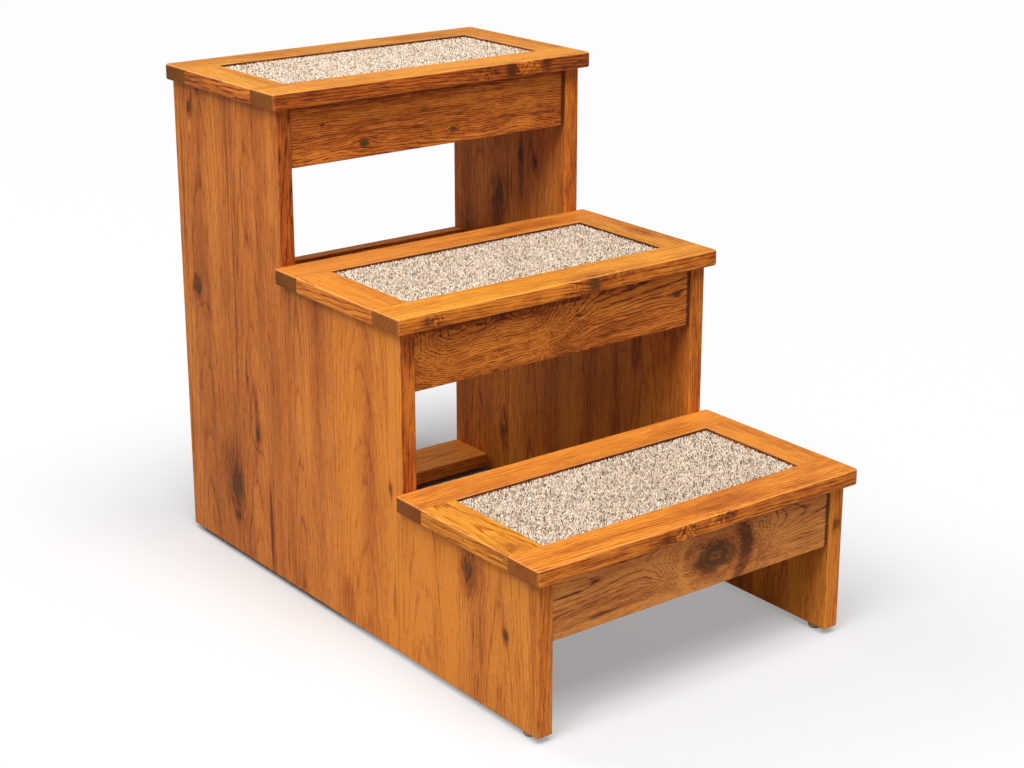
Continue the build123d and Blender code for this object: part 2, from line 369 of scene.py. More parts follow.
sidewise = abs(sketch.math("DOT_PRODUCT", given["Normal"], given["Across"]))
to_first = abs(given["Seam Place"] - given["First Seam"])
to_second = abs(given["Seam Place"] - given["Second Seam"])
edges_group = sketch.give(
    Arris=facing.step(0.72, 0.99, 1.0, 0.0) * from_above,
    End=endwise.step(0.45, 0.75),
    Side=sidewise.step(0.6, 0.95),
    Seam=sketch.math("MINIMUM", to_first, to_second).step(0.0001, 0.0009, 1.0, 0.0))

# %% [markdown]
# Stained hickory. This group gathers every mask into a colour, a roughness and a height. Stain works like
# a glaze: what drinks more gets darker, so all the masks first add up to one number, the depth of the
# stain, and that number picks a colour between a golden, a russet and a dark brown. The narrow sides of a
# board are glazed a little redder, and their own depth is partly stain and partly painted shade: darker
# where a face gets less light, and lighter, as painted light, where it is negative. Knots and sawn ends are
# painted over it, because their colour is another one and not only deeper.
# %% Group: stained hickory
wood_golden = [0.73, 0.256, 0.034, 1.0]
wood_russet = [0.45, 0.118, 0.018, 1.0]
wood_brown = [0.12, 0.031, 0.008, 1.0]
knot_brown = [0.10, 0.042, 0.014, 1.0]
end_brown = [0.15, 0.033, 0.009, 1.0]
worn_and_highlight_gold = [0.88, 0.42, 0.13, 1.0]
red_glaze = [1.0, 0.89, 0.85, 1.0]
wood_colours = {
    "Golden": wood_golden, "Russet": wood_russet, "Brown": wood_brown, "Knot Colour": knot_brown,
    "End Colour": end_brown, "Worn Colour": worn_and_highlight_gold, "Side Glaze": red_glaze,
}
wood_inputs = (
    "Line", "Tint", *fibre_masks, "Patches", "Core", "Halo", "Rings", "Arris", "End", "Side", "Seam",
    "Depth", "Figure", "Fine Contrast", "Side Depth",
)
surface_outputs = {"Colour": list, "Roughness": float, "Height": float}
usual_masks = 1.03        # what the masks add up to on plain wood, taken off to keep the mean at the depth
usual_fine = 1.325        # and what the three fine noises add up to

sketch, given = new_group(
    "Stained hickory", {**wood_colours, **dict.fromkeys(wood_inputs, 0.0)}, surface_outputs)
side = given["Side"]
lines = given["Line"] * given["Grain"].step(0.34, 0.58, 0.35, 1.0) * given["Figure"]
fine = given["Streaks"] * 0.70 + given["Grain"] * 1.05 + given["Fibres"] * 0.90 - usual_fine
fine = fine * given["Fine Contrast"] * (side * 0.8 + 1.0)
depth = given["Depth"] - usual_masks + given["Patches"] + given["Bands"] + lines * 0.80 + fine
depth = depth + given["Tint"] * given["Figure"] * 0.12 + given["Clouds"] * 0.70 + given["Pores"] * 0.30
# The side depth is partly stain and partly painted shade on the narrow sides; negative, it paints light.
depth = depth + given["Halo"] * 0.30 + side * given["Side Depth"]
colour = sketch.mix((depth * 2.0).clamped(), given["Golden"], given["Russet"])
colour = sketch.mix((depth * 2.0 - 1.0).clamped(), colour, given["Brown"])
colour = sketch.mix(side, colour, sketch.mix(1.0, colour, given["Side Glaze"], "MULTIPLY"))
colour = sketch.mix(given["Core"] * (given["Rings"] * 0.35 + 0.6), colour, given["Knot Colour"])
colour = sketch.mix(given["End"] * (given["Line"] * 0.26 + 0.74), colour, given["End Colour"])
colour = sketch.mix(given["Seam"] * 0.4, colour, given["Brown"])
stained_hickory = sketch.give(
    # The arris colour: partly sanding wear, partly a painted highlight.
    Colour=sketch.mix(given["Arris"] * 0.45, colour, given["Worn Colour"]),
    Roughness=given["Pores"] * 0.12 + given["Clouds"] * 0.10 + given["End"] * 0.12 + 0.34,
    Height=given["Fibres"] - given["Pores"] * 0.7 - lines * 0.5 - given["Core"] * 0.6)

# %% [markdown]
# One material for each board. No two boards of a real panel match, so each gets its own material from the
# same groups: another seed, another place in the trunk, its own knots and streaks, and a slightly lighter,
# darker or redder stain. Features are written in millimetres as a joiner would mark them on the board:
# along the grain, then across, and where needed the depth below the face.
# %% Features of a board
def ellipse(along, across, length, width, into, thickness):
    """The centre and the radii of a feature, in metres."""
    return {"Centre": mm(along, across, into), "Radii": mm(length / 2, width / 2, thickness / 2)}


def knot(along, across, length, width, swing=0.85, dome=0.0, solid=0.4, dark=1.0, into=0.0, thickness=400.0):
    """A knot: its centre, size and dome, the share of it that is solid, and how dark it is."""
    place = ellipse(along, across, length, width, into, thickness)
    return {**place, "Swing": swing, "Dome": dome * MM, "Solid_Part": solid, "Darkness": dark}


def patch(along, across, length, width, amount, sharpness=0.3, ragged=0.6, spots=0.0, into=0.0,
          thickness=400.0):
    """A darker patch, or with a negative amount a lighter one. Spots break it up."""
    place = ellipse(along, across, length, width, into, thickness)
    return amount, {**place, "Sharpness": sharpness, "Ragged": ragged, "Spots": spots}


def edge_patch(along, into, length, thickness, amount, width, spots=0.0):
    """A patch on the front edge of a tread rail."""
    return patch(along, 0, length, width, amount, spots=spots, into=into, thickness=thickness)


def recess_shade(along, across, length):
    """A painted shade line in the corner of a carpet opening, where the inner wall of the frame is in shade.
    """
    return patch(along, across, length, 2.0, 0.6, sharpness=0.7, ragged=0.2)


def stained(colour, brightness, redness, greyness=0.0):
    """A colour of the wood under a lighter or darker, redder or yellower, or greyer stain."""
    red, green, blue, alpha = colour
    tones = [red * brightness, green * brightness * (1 - redness), blue * brightness]
    grey = sum(tones) / 3
    return [tone + (grey - tone) * greyness for tone in tones] + [alpha]


# %% [markdown]
# The material itself. The finish over the stain is a thin satin lacquer. Its gloss is even over the whole
# board, so it is set on the shader and not in a group. The grain scale makes a board's grain coarser, for
# boards from a faster grown tree, and the contrast makes the fine grain of a board stronger or weaker.
# %% Material: stained board
def blank_material(name):
    """A material with no nodes yet, and a sketch of its tree."""
    material = bpy.data.materials.new(name)
    material.use_nodes = True
    material.node_tree.nodes.clear()
    return material, Sketch(material.node_tree)


def surface_shader(sketch, surface, strength, distance, **plain):
    """The shader of a surface, with its relief as a bump. Plain settings are the same all over."""
    relief = {"Height": surface["Height"], "Strength": strength, "Distance": distance}
    inputs = {"Base Color": surface["Colour"], "Roughness": surface["Roughness"]}
    inputs["Normal"] = sketch.value("ShaderNodeBump", relief)
    inputs.update({name.replace("_", " "): value for name, value in plain.items()})
    sketch.node("ShaderNodeOutputMaterial", {"Surface": sketch.value("ShaderNodeBsdfPrincipled", inputs)})


no_seam = -10.0               # far from every board
knot_seed_step = 7.3          # so that no two knots or patches are ragged alike
patch_seed_step = 3.7


def board_material(name, origin, along, across, into, seed, depth, heart, spacing=3.0, brightness=1.0,
                   redness=0.0, greyness=0.0, wander=6.0, ripple=1.5, taper=0.03, figure=1.0, grain_scale=1.0,
                   contrast=1.0, side_depth_and_shade=0.1, side_redness=0.0, end_brightness=1.0,
                   seams=(no_seam, no_seam), seam_axis=1, knots=(), patches=()):
    """One board's own material: its place in the trunk, its stain, its knots and its patches."""
    material, sketch = blank_material(name)
    where = sketch.values(sketch.node("ShaderNodeTexCoord"))
    plain_place = sketch.group(
        board_place, Position=where["Object"], Origin=origin, Along=along, Across=across, Into=into)["Place"]

    place = plain_place
    masks = {"Core": 0.0, "Halo": 0.0, "Rings": 0.0}
    for number, shape in enumerate(knots):
        made = sketch.group(knot_group, Place=place, Seed=seed + number * knot_seed_step, **shape)
        place = made["Place"]
        for label, before in masks.items():
            masks[label] = made[label] if number == 0 else sketch.math("MAXIMUM", before, made[label])
    patched = 0.0
    for number, (amount, shape) in enumerate(patches):
        made = sketch.group(patch_group, Place=plain_place, Seed=seed + number * patch_seed_step, **shape)
        patched = made["Mask"] * amount + patched

    place = sketch.group(
        waves_group, Place=place, Wander=wander * MM, Ripple=ripple * MM, Seed=seed)["Place"]
    growth = sketch.group(
        growth_rings, Place=place, Heart_Across=heart[0] * MM, Heart_Depth=heart[1] * MM, Taper=taper,
        Spacing=spacing * MM, Wander=wander * MM, Seed=seed)
    fibres = sketch.group(fibres_group, Place=place * grain_scale, Seed=seed)
    edges = sketch.group(
        edges_group, Normal=where["Normal"], Along=along, Across=across,
        Seam_Place=sketch.parts(plain_place)[seam_axis], First_Seam=seams[0], Second_Seam=seams[1])
    wood = sketch.group(
        stained_hickory, **growth, **fibres, **masks, **edges,
        Golden=stained(wood_golden, brightness, redness, greyness),
        Russet=stained(wood_russet, brightness, redness, greyness),
        Brown=stained(wood_brown, brightness, redness, greyness),
        End_Colour=stained(end_brown, end_brightness, side_redness),
        Side_Glaze=stained(red_glaze, 1.0, side_redness),
        Depth=depth, Figure=figure, Fine_Contrast=contrast, Side_Depth=side_depth_and_shade, Patches=patched)
    surface_shader(sketch, wood, strength=0.35, distance=0.0002, Specular_IOR_Level=0.06)
    return material


def dress(node, material):
    """Puts a material on a board in place of its plain one."""
    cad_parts[node].material_slots[0].material = material


# %% [markdown]
# The side panels. Each is glued up from six upright boards. Their features are given as height above the
# floor and distance from the back edge, which is how one reads them off the outside of the left panel.
# %% Boards of the left panel
left_boards = {
    1: dict(
        seed=11.0, depth=0.55, greyness=0.02, spacing=3.2, heart=(52, 95), wander=5,
        knots=[
            knot(561, 39, 14, 12, solid=0.2), knot(335, 40, 17, 15, dome=4, solid=0.2),
            knot(94, 117, 30, 26, dome=6, solid=0.1), knot(56, 116, 12, 11, solid=0.4),
        ],
        patches=[
            patch(110, 106, 120, 78, 0.26), patch(470, 14, 300, 7, 0.30), patch(160, 8, 300, 8, 0.18),
            patch(500, 124, 170, 5, 0.30), patch(360, 131, 270, 6, 0.34), patch(260, 128, 170, 7, 0.28),
            patch(35, 52, 40, 4, 0.35), patch(536, 37, 24, 10, -0.35), patch(440, 75, 260, 44, -0.12),
            patch(510, 57, 50, 4, 0.25),
        ]),
    2: dict(
        seed=23.0, depth=0.58, greyness=0.02, redness=0.03, spacing=2.8, heart=(165, 80), wander=5,
        knots=[knot(179, 172, 20, 12, dome=4, solid=0.2), knot(245, 152, 16, 5, solid=0.4)],
        patches=[
            patch(480, 155, 110, 5, 0.36), patch(548, 185, 60, 4, 0.32), patch(200, 172, 100, 16, 0.22),
            patch(150, 165, 50, 9, 0.28), patch(65, 197, 160, 8, 0.45), patch(480, 182, 180, 14, -0.12),
            patch(432, 224, 70, 22, 0.25),
        ]),
    3: dict(
        seed=37.0, depth=0.40, greyness=0.02, redness=0.03, spacing=3.6, heart=(270, 24), wander=4,
        ripple=1.0, taper=0.045, figure=0.45, side_depth_and_shade=0.16,
        patches=[
            patch(300, 316, 320, 55, 0.18), patch(290, 262, 110, 5, 0.20), patch(500, 225, 260, 26, -0.18),
            patch(45, 235, 44, 5, 0.40), patch(432, 224, 70, 22, 0.20), patch(250, 240, 300, 10, -0.15),
        ]),
    4: dict(
        seed=41.0, depth=0.29, redness=0.04, spacing=2.4, heart=(405, 120), wander=4, figure=0.3,
        knots=[knot(201, 457, 15, 10, solid=0.2)],
        patches=[
            patch(34, 367, 76, 34, 0.32), patch(70, 462, 60, 6, 0.50), patch(300, 453, 180, 9, 0.24),
            patch(200, 385, 260, 40, -0.12),
        ]),
    5: dict(
        seed=53.0, depth=0.18, redness=0.03, spacing=2.8, heart=(520, 100), wander=5, side_depth_and_shade=0.40,
        patches=[
            patch(120, 560, 150, 30, -0.12), patch(60, 480, 120, 8, 0.16), patch(100, 505, 60, 24, 0.08),
            patch(366, 482, 46, 20, 0.28, sharpness=0.7, into=12, thickness=20),
            patch(300, 482, 80, 20, -0.12, into=12, thickness=20),
        ]),
    6: dict(
        seed=67.0, depth=0.31, greyness=0.01, spacing=3.4, heart=(655, 60), ripple=1.0, figure=0.45,
        side_depth_and_shade=-0.06,
        knots=[knot(157, 600, 26, 22, dome=5, solid=0.2), knot(106, 665, 13, 10, solid=0.2)],
        patches=[
            patch(152, 606, 80, 52, 0.20), patch(85, 608, 90, 6, 0.26), patch(80, 622, 90, 6, 0.20),
            patch(20, 615, 60, 16, 0.15), patch(50, 665, 70, 8, 0.14), patch(120, 700, 140, 26, -0.10),
        ]),
}
left_usual = dict(ripple=0.8, figure=0.35, contrast=0.5, grain_scale=0.7)

# %% Boards of the right panel
right_boards = {
    1: dict(
        seed=71.0, depth=0.44, heart=(60, 70), wander=6,
        knots=[knot(399, 100, 34, 20, solid=0.1), knot(71, 112, 30, 20, solid=0.1)],
        patches=[patch(420, 120, 70, 6, 0.45), patch(390, 100, 90, 40, 0.25)]),
    2: dict(
        seed=83.0, depth=0.42, redness=0.02, spacing=2.8, heart=(170, 60),
        knots=[knot(466, 147, 26, 8, solid=0.3), knot(459, 178, 16, 10, solid=0.3)],
        patches=[
            patch(440, 150, 120, 14, 0.30), patch(425, 128, 70, 5, 0.45), patch(480, 241, 200, 20, 0.10),
        ]),
    3: dict(seed=97.0, depth=0.46, spacing=3.2, heart=(280, 45), side_depth_and_shade=0.06),
    4: dict(seed=103.0, depth=0.46, heart=(400, 80), patches=[patch(255, 381, 70, 30, 0.30)]),
    5: dict(seed=113.0, depth=0.46, redness=-0.06, spacing=2.8, heart=(520, 80), side_depth_and_shade=0.02),
    6: dict(
        seed=127.0, depth=0.38, spacing=3.2, heart=(650, 55), side_depth_and_shade=-0.1,
        knots=[knot(138, 720, 15, 26, solid=0.3, into=10, thickness=13)]),
}
right_usual = dict(wander=5, figure=0.4, contrast=0.65, grain_scale=0.7)

# %% Dress the side boards
across_stairs = (1.0, 0.0, 0.0)
to_back = (0.0, 1.0, 0.0)
to_front = (0.0, -1.0, 0.0)
upward = (0.0, 0.0, 1.0)
downward = (0.0, 0.0, -1.0)
panels = (("left", -1, left_boards, left_usual), ("right", 1, right_boards, right_usual))
for side, sign, boards, usual in panels:
    for number, features in boards.items():
        node = f"{side}_side_board_{number}"
        low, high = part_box(node)
        first_seam = no_seam if number == 1 else back_y - high.y
        second_seam = no_seam if number == len(boards) else back_y - low.y
        dress(node, board_material(
            node, origin=(sign * panel_outer, back_y, 0.0), along=upward, across=to_front,
            into=(-sign, 0.0, 0.0), seams=(first_seam, second_seam), **(usual | features)))
print("Side boards dressed:", len(left_boards) + len(right_boards))

# %% [markdown]
# The treads. A tread is a picture frame of two long rails and two short stiles. Rail features are given
# from the middle of the stairs and from the tread's front edge, with the depth below the top where a
# feature sits on the front edge. The grain of the stiles runs from front to back, so theirs are given from
# the front edge first and then from the middle.
# %% Rails and stiles of the treads
tread_boards = {
    "low_tread_front_rail": dict(
        seed=131.0, depth=0.19, brightness=1.07, redness=-0.01, spacing=3.2, heart=(-40, 60), side_depth_and_shade=0.26,
        end_brightness=1.1,
        patches=[
            edge_patch(-68, 12, 76, 30, 0.26, 12), edge_patch(-57, 9, 18, 24, 0.25, 8),
            edge_patch(-30, 9, 46, 30, 0.55, 8, spots=1.0), edge_patch(18, 4, 60, 22, 0.45, 12, spots=1.0),
            patch(34, 22, 120, 42, 0.20), edge_patch(33, 6, 26, 22, 0.40, 8),
        ]),
    # A little lighter: painted light against the shade that the middle tread casts on this rail.
    "low_tread_back_rail": dict(
        seed=139.0, depth=0.17, brightness=1.04, heart=(150, 60), figure=0.8, end_brightness=0.65,
        patches=[recess_shade(0, 202.5, 460), patch(150, 230, 90, 46, 0.14)]),
    "low_tread_left_stile": dict(
        seed=181.0, depth=0.16, redness=-0.18, spacing=4.2, heart=(-205, 34), wander=8, ripple=4.0,
        figure=0.7,
        patches=[patch(66, -215, 34, 30, 0.30), patch(120, -205, 60, 20, -0.2)]),
    "low_tread_right_stile": dict(
        seed=191.0, depth=0.19, redness=-0.01, heart=(130, 60), figure=0.95,
        patches=[recess_shade(125, 184, 220)]),
    "middle_tread_front_rail": dict(
        seed=149.0, depth=0.20, brightness=1.05, redness=-0.14, spacing=3.4, heart=(-40, 60), wander=6,
        side_depth_and_shade=0.20, side_redness=0.07, end_brightness=1.14,
        knots=[
            knot(40, 0, 20, 16, dark=0.9, dome=5, into=10, thickness=20),
            knot(-191, 0, 10, 10, dark=0.8, into=9, thickness=12),
        ],
        patches=[
            edge_patch(75, 4, 60, 18, 0.30, 12, spots=1.0), edge_patch(12, 10, 30, 30, 0.35, 10, spots=1.0),
            edge_patch(-20, 9, 46, 40, -0.30, 30), edge_patch(-180, 10, 30, 20, 0.5, 8, spots=1.0),
        ]),
    "middle_tread_back_rail": dict(
        seed=151.0, depth=0.24, redness=-0.01, spacing=3.4, heart=(150, 60), wander=6, figure=0.95,
        end_brightness=0.39,
        patches=[patch(120, 225, 160, 36, 0.26), patch(60, 215, 70, 8, 0.25), recess_shade(0, 202.5, 460)]),
    "middle_tread_left_stile": dict(
        seed=193.0, depth=0.32, redness=-0.03, spacing=2.8, heart=(-130, 60), figure=0.95, side_depth_and_shade=-0.07),
    "middle_tread_right_stile": dict(
        seed=199.0, depth=0.33, redness=-0.14, spacing=3.2, heart=(130, 60), wander=6, figure=0.95,
        patches=[patch(120, 210, 70, 36, 0.26), recess_shade(125, 184, 220)]),
    # Its deep side depth darkens the front edge, partly as painted shade for the weaker light up here.
    "top_tread_front_rail": dict(
        seed=163.0, depth=0.25, redness=-0.14, spacing=3.2, heart=(-40, 70), figure=1.1, side_depth_and_shade=0.48,
        side_redness=0.16, end_brightness=0.66,
        patches=[
            edge_patch(106, 9, 22, 34, 0.40, 16), edge_patch(132, 9, 40, 40, -0.50, 12),
            edge_patch(132, 9, 60, 34, 0.45, 12, spots=1.0), edge_patch(161, 9, 18, 30, 0.28, 10),
            edge_patch(70, 12, 50, 26, 0.35, 10, spots=1.0),
        ]),
    "top_tread_back_rail": dict(
        seed=173.0, depth=0.31, redness=-0.20, heart=(150, 70), figure=1.1, side_redness=0.16,
        end_brightness=0.42,
        patches=[patch(120, 228, 150, 40, 0.16), patch(-150, 222, 120, 30, -0.10), recess_shade(0, 202.5, 460)]),
    "top_tread_left_stile": dict(
        seed=211.0, depth=0.26, redness=-0.20, heart=(-130, 60), side_depth_and_shade=0.20, side_redness=0.16),
    "top_tread_right_stile": dict(
        seed=223.0, depth=0.28, redness=-0.12, heart=(130, 60),
        patches=[recess_shade(125, 184, 220)]),
}
tread_usual = dict(wander=5, contrast=0.65, grain_scale=0.6)

# %% Dress the treads
for step in step_names:
    front_low, front_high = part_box(f"{step}_tread_front_rail")
    joints = (front_high.y - front_low.y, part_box(f"{step}_tread_back_rail")[0].y - front_low.y)
    for part in ("front_rail", "back_rail", "left_stile", "right_stile"):
        node = f"{step}_tread_{part}"
        if part.endswith("rail"):
            directions = dict(along=across_stairs, across=to_back)
        else:
            directions = dict(along=to_back, across=across_stairs, seams=joints, seam_axis=0)
        dress(node, board_material(
            node, origin=(0.0, front_low.y, front_high.z), into=downward, **directions,
            **(tread_usual | tread_boards[node])))
print("Tread rails and stiles dressed:", len(tread_boards))

# %% [markdown]
# The aprons and the cross boards at the back. The three aprons face the viewer and have the strongest
# figure: arches, swirls and a big dark knot. Features are given from the middle of the stairs and down from
# the upper edge of the board. A swirl without a dark centre is a knot that only lifts the grain.
# %% Aprons and cross boards
def swirl(along, across, length, width, dome):
    """Closed rings in the grain, from a knot that lies below the surface."""
    return knot(along, across, length, width, swing=0.0, dome=dome, dark=0.0)


# Painted shade: a dark band under the nosing above, and a dark line at the apron's recessed right end.
apron_painted_shade = [
    patch(0, 2, 2000, 17, 0.50, sharpness=0.2, ragged=0.15),
    patch(200, 36, 13, 260, 0.9, sharpness=0.6, ragged=0.15),
]
cross_boards = {
    "top_apron": dict(
        seed=227.0, depth=0.49, redness=0.09, spacing=2.3, heart=(110, 60), wander=7, ripple=2.5, figure=1.3,
        contrast=1.2,
        knots=[
            knot(-100, 55, 18, 10, dome=-3, solid=0.5), knot(28, 55, 10, 8, dome=-3),
            swirl(132, 58, 46, 26, -12), swirl(-100, 55, 80, 26, -9), swirl(20, 55, 50, 24, -6),
        ],
        patches=[
            patch(132, 58, 54, 15, -0.34, sharpness=0.5), patch(105, 50, 60, 4, 0.25),
            patch(-130, 41, 120, 5, 0.22), patch(-157, 27, 9, 6, 0.45),
            patch(-12, 55, 30, 16, 0.24, spots=1.0), patch(-150, 60, 70, 10, -0.12),
            # Painted light: the wide lighter band below the upper edge lifts the shade of the tread above.
            patch(0, 14, 2000, 26, -0.16, ragged=0.2), *apron_painted_shade,
        ]),
    "middle_apron": dict(
        seed=229.0, depth=0.41, redness=0.05, spacing=2.5, heart=(-6, 60), wander=7, ripple=4.0, taper=0.02,
        figure=1.5, contrast=1.15,
        knots=[
            knot(180, 30, 13, 10, solid=0.5, dark=0.9), swirl(-145, 38, 48, 44, -46),
            swirl(-52, 48, 60, 96, -40),
        ],
        patches=[
            patch(95, 31, 70, 12, -0.34), patch(-60, 22, 80, 22, -0.24),
            patch(29, 28, 13, 4, 0.60, sharpness=0.6), patch(95, 22, 80, 3, 0.35),
            patch(100, 41, 70, 3, 0.35), patch(-82, 46, 34, 6, 0.35), patch(15, 9, 70, 5, 0.45),
            patch(72, 8, 30, 9, 0.40), patch(105, 8, 20, 12, 0.35), patch(120, 20, 160, 36, 0.08),
            *apron_painted_shade,
        ]),
    "low_apron": dict(
        seed=233.0, depth=0.29, brightness=1.05, redness=-0.01, greyness=0.08, spacing=1.9, heart=(16, 52),
        ripple=3.0, taper=0.02, figure=0.82,
        knots=[knot(27, 37, 60, 30, swing=0.0, solid=0.75), swirl(27, 37, 54, 42, -45)],
        patches=[
            patch(30, 37, 104, 92, 0.55, sharpness=0.92, ragged=0.10),
            patch(18, 37, 94, 110, -0.52, sharpness=0.8, ragged=0.12), patch(27, 37, 84, 50, 0.12),
            patch(-135, 59, 56, 5, 0.50), patch(-175, 26, 40, 5, 0.35), patch(-150, 20, 70, 4, 0.30),
            patch(-120, 30, 150, 64, 0.16), patch(130, 34, 90, 50, -0.12), *apron_painted_shade,
        ]),
    "top_back_rail": dict(seed=239.0, depth=0.42, spacing=3.2, heart=(36, 40), wander=7, figure=0.8),
    # Painted light: this rail is lighter, its top face most, as it lies in the shade of the top tread.
    "middle_back_rail": dict(
        seed=241.0, depth=0.42, brightness=1.25, spacing=3.2, heart=(36, 50), figure=0.7, side_depth_and_shade=-0.40,
        knots=[knot(90, 40, 16, 10)]),
    "bottom_stretcher": dict(seed=251.0, depth=0.15, spacing=3.2, heart=(36, 50), figure=0.5, contrast=0.7),
}
for node, features in cross_boards.items():
    low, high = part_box(node)
    if node == "bottom_stretcher":
        directions = dict(origin=(0.0, low.y, high.z), across=to_back, into=downward)
    elif node.endswith("apron"):
        directions = dict(origin=(0.0, low.y, high.z), across=downward, into=to_back)
    else:
        directions = dict(origin=(0.0, high.y, high.z), across=downward, into=to_front)
    dress(node, board_material(node, along=across_stairs, **directions, **features))
print("Aprons and cross boards dressed:", len(cross_boards))

# %% [markdown]
# Plywood and dowels. The panels under the carpets are birch plywood, seen only from below, and the dowels
# are beech, hidden in their holes. Both are left raw, so they are pale and matt. They share one small
# group: fine fibres and short flecks over a soft change of tone.
# %% Group: raw wood
birch_pale = [0.66, 0.50, 0.32, 1.0]
birch_dark = [0.50, 0.33, 0.18, 1.0]
beech_pale = [0.60, 0.42, 0.27, 1.0]
beech_dark = [0.42, 0.26, 0.15, 1.0]

sketch, given = new_group(
    "Raw wood", {"Place": zero, "Pale": birch_pale, "Dark": birch_dark, "Fleck": 0.3}, surface_outputs)
place = given["Place"]
tone = sketch.noise(place * (5.0, 30.0, 30.0), 3.0, 0.6)
fibre = sketch.noise(place * (30.0, 700.0, 700.0))
flecks = sketch.noise(place * (300.0, 1400.0, 1400.0), 1.0).step(0.6, 0.7) * given["Fleck"]
amount = fibre * 0.4 + tone * 0.8 - 0.2 + flecks
raw_wood = sketch.give(
    Colour=sketch.mix(amount.clamped(), given["Pale"], given["Dark"]),
    Roughness=fibre * 0.15 + 0.6,
    Height=fibre)


def plain_material(name, group, strength, distance, metallic=0.0, **inputs):
    """A material that only needs one group, on the place on the stairs."""
    material, sketch = blank_material(name)
    surface = sketch.group(group, Place=sketch.place(), **inputs)
    surface_shader(sketch, surface, strength, distance, Metallic=metallic)
    return material


birch = plain_material(
    "birch_plywood", raw_wood, strength=0.3, distance=0.0002,
    Pale=birch_pale, Dark=birch_dark, Fleck=0.15)
beech = plain_material(
    "beech_dowel", raw_wood, strength=0.3, distance=0.0002,
    Pale=beech_pale, Dark=beech_dark, Fleck=0.6)
for step in step_names:
    dress(f"{step}_tread_plywood", birch)
for node in ("cross_board_dowels", "tread_dowels"):
    dress(node, beech)
print("Raw wood:", birch.name, "and", beech.name)

# %% [markdown]
# Glides and nails. The stairs stand on small nailed glides of a dull plated metal. It is scuffed on the foot
# where it slides, so the roughness and the colour change with height and with a fine noise.
# %% Group: worn metal
plating = [0.46, 0.29, 0.15, 1.0]
plating_scuffed = [0.22, 0.14, 0.08, 1.0]
steel = [0.55, 0.54, 0.52, 1.0]
steel_scuffed = [0.40, 0.39, 0.38, 1.0]

sketch, given = new_group(
    "Worn metal",
    {"Place": zero, "Metal": plating, "Scuff": plating_scuffed, "Wear Height": 0.002},
    surface_outputs)
scratches = sketch.noise(given["Place"] * (900.0, 2600.0, 900.0), 3.0, 0.6)
low_down = sketch.parts(given["Place"])[2] / given["Wear Height"]
worn = (low_down + scratches).step(0.6, 1.6, 1.0, 0.0)
worn_metal = sketch.give(
    Colour=sketch.mix(worn, given["Metal"], given["Scuff"]),
    Roughness=worn * 0.25 + 0.36,
    Height=scratches)

glide_metal = plain_material(
    "glide_metal", worn_metal, strength=0.15, distance=0.0001, metallic=0.9,
    Metal=plating, Scuff=plating_scuffed, Wear_Height=0.0025)
nail_metal = plain_material(
    "nail_metal", worn_metal, strength=0.15, distance=0.0001, metallic=0.9,
    Metal=steel, Scuff=steel_scuffed, Wear_Height=0.001)
for corner in ("front_left", "front_right", "back_left", "back_right"):
    dress(f"glide_{corner}", glide_metal)
dress("glide_nails", nail_metal)
print("Metal:", glide_metal.name, "and", nail_metal.name)

# %% [markdown]
# Carpet yarn. The pile is a twisted cut yarn in cream, sand, brown and grey. Each tuft is one colour, so
# the colour is stored on the mesh, and the material adds thin twisted strands, a painted shade that
# darkens each tuft towards the backing and lifts it a little at the tip, and a soft fuzz that catches
# light at the rim.
# %% Material: yarn
yarn, sketch = blank_material("carpet_yarn")
stored = sketch.node("ShaderNodeAttribute", attribute_name="yarn", attribute_type="GEOMETRY")
rise = sketch.node("ShaderNodeAttribute", attribute_name="rise", attribute_type="GEOMETRY")
strands = sketch.noise(sketch.place() * 2200.0, 2.0, 0.6)
# Painted shade: darker towards the backing, and a little lighter at the tips.
shade = sketch.values(rise)["Fac"].step(0.2, 0.95, 0.76, 1.03) * (strands * 0.36 + 0.82)
shaded = sketch.mix(1.0, sketch.values(stored)["Color"], sketch.joined(shade, shade, shade), "MULTIPLY")
fuzzy = {"Colour": shaded, "Roughness": strands * 0.2 + 0.75, "Height": strands}
surface_shader(
    sketch, fuzzy, strength=0.5, distance=0.0003,
    Specular_IOR_Level=0.2, Sheen_Weight=0.15, Sheen_Roughness=0.5)
print("Material:", yarn.name, "with", len(yarn.node_tree.nodes), "nodes")

# %% [markdown]
# The woven backing between the tufts: a coarse weave of two crossing waves.
# %% Material: backing
threads = 3000.0                 # radians of the wave to the metre
jute_dark = (0.64, 0.52, 0.40, 1.0)
jute_pale = (0.80, 0.67, 0.53, 1.0)
backing_weave, sketch = blank_material("carpet_backing")
x, y, z = sketch.parts(sketch.place())
weave = (sketch.math("SINE", x * threads) * sketch.math("SINE", y * threads)).step(-0.8, 0.8)
jute = sketch.mix(weave, jute_dark, jute_pale)
woven = {"Colour": jute, "Roughness": weave * 0.1 + 0.8, "Height": weave}
surface_shader(sketch, woven, strength=0.6, distance=0.0004)
print("Material:", backing_weave.name, "with", len(backing_weave.node_tree.nodes), "nodes")

